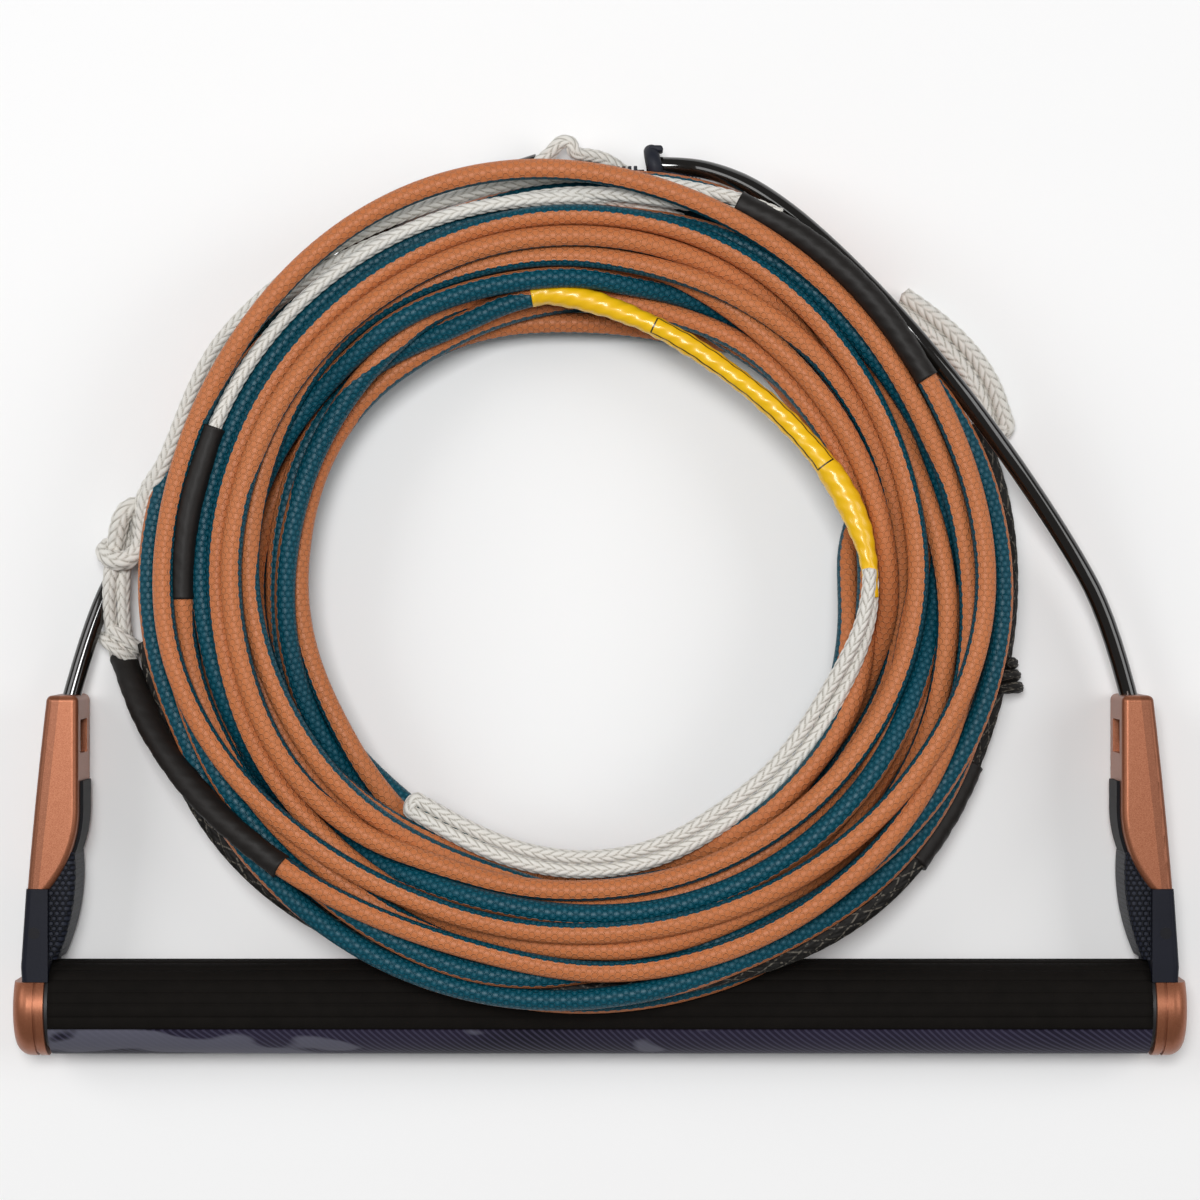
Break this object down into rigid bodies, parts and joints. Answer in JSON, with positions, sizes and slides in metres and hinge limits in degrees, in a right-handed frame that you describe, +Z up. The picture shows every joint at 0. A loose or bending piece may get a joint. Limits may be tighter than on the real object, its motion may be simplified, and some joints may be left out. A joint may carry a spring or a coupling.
{
  "type": "tow rope handle",
  "caption": "Straight grip between two hollow moulded arms, joined by a tubed bridle to a coiled two-tone tow line",
  "frame": {"origin": "middle of the handle's footprint on the surface it lies on", "axes": "+X along the bar, +Y from the bar towards the rope, +Z up"},
  "size_m": [0.381, 0.2995, 0.056],
  "materials": {
    "copper_finish": "metallic copper paint on moulded plastic",
    "navy_plastic": "satin moulded navy",
    "navy_guard": "moulded scale texture",
    "pad_rubber": "soft matte grey",
    "inner_plastic": "plain moulded",
    "pin_steel": "turned pin",
    "aluminium_tube": "extruded",
    "grip_black": "closed-cell foam, ribbed",
    "printed_wrap": "printed lines and blotches on dark navy",
    "white_rope": "hollow braid",
    "coated_line": "coated line, copper on one half and teal on the other",
    "black_tube": "clear-coated tube",
    "black_braid": "braided sleeve with light flecks",
    "shrink_sleeve": "heat-shrink",
    "yellow_sleeve": "heat-shrink"
  },
  "bodies": {
    "handle": {"bar_end_plug_left": "inner_plastic", "bar_end_plug_right": "inner_plastic", "bar_rope": "white_rope", "collar_left": "navy_plastic", "collar_pins_left": "pin_steel", "collar_pins_right": "pin_steel", "collar_right": "navy_plastic", "core_tube": "aluminium_tube", "end_cap_left": "copper_finish", "end_cap_right": "copper_finish", "finger_guard_left": "navy_guard", "finger_guard_right": "navy_guard", "grip_foam": "grip_black", "grip_wrap": "printed_wrap", "riser_inner_shell_left": "copper_finish", "riser_inner_shell_right": "copper_finish", "riser_link_left": "inner_plastic", "riser_link_right": "inner_plastic", "riser_outer_shell_left": "copper_finish", "riser_outer_shell_right": "copper_finish", "rubber_pad_left": "pad_rubber", "rubber_pad_right": "pad_rubber", "tube_ferrule_left": "aluminium_tube", "tube_ferrule_right": "aluminium_tube"},
    "coil": {"mainline_coil": "coated_line", "bridle_tube_right": "black_tube", "bridle_tube_left": "black_tube", "bridle_end_rope": "white_rope", "bridle_knot": "white_rope", "take_off_rope": "white_rope", "link_knot": "white_rope", "link_rope": "white_rope", "stopper_knot": "white_rope", "loop_hump": "white_rope", "inner_loop_rope": "white_rope", "boat_loop_right": "black_braid", "boat_loop_near": "black_braid", "boat_loop_left": "black_braid", "boat_loop_knot": "black_braid", "splice_sleeve_link": "shrink_sleeve", "splice_sleeve_left": "shrink_sleeve", "splice_sleeve_top": "shrink_sleeve", "splice_sleeve_boat": "shrink_sleeve", "label_sleeve": "yellow_sleeve", "tie_head": "navy_plastic", "tie_strap": "navy_plastic"},
    "tie_tail": {"tie_tail": "navy_plastic"}
  },
  "joints": [
    {"name": "coil_swing", "type": "hinge", "parent": "handle", "child": "coil", "pos_m": [0, -0.043, 0.016], "axis": [1, 0, 0], "range_deg": [0, 15], "deforming": ["bridle_tube_left", "bridle_tube_right"]},
    {"name": "tie_pull", "type": "slide", "parent": "coil", "child": "tie_tail", "axis": [0.9613, -0.2756, 0], "range_m": [0, 0.0048]}
  ]
}
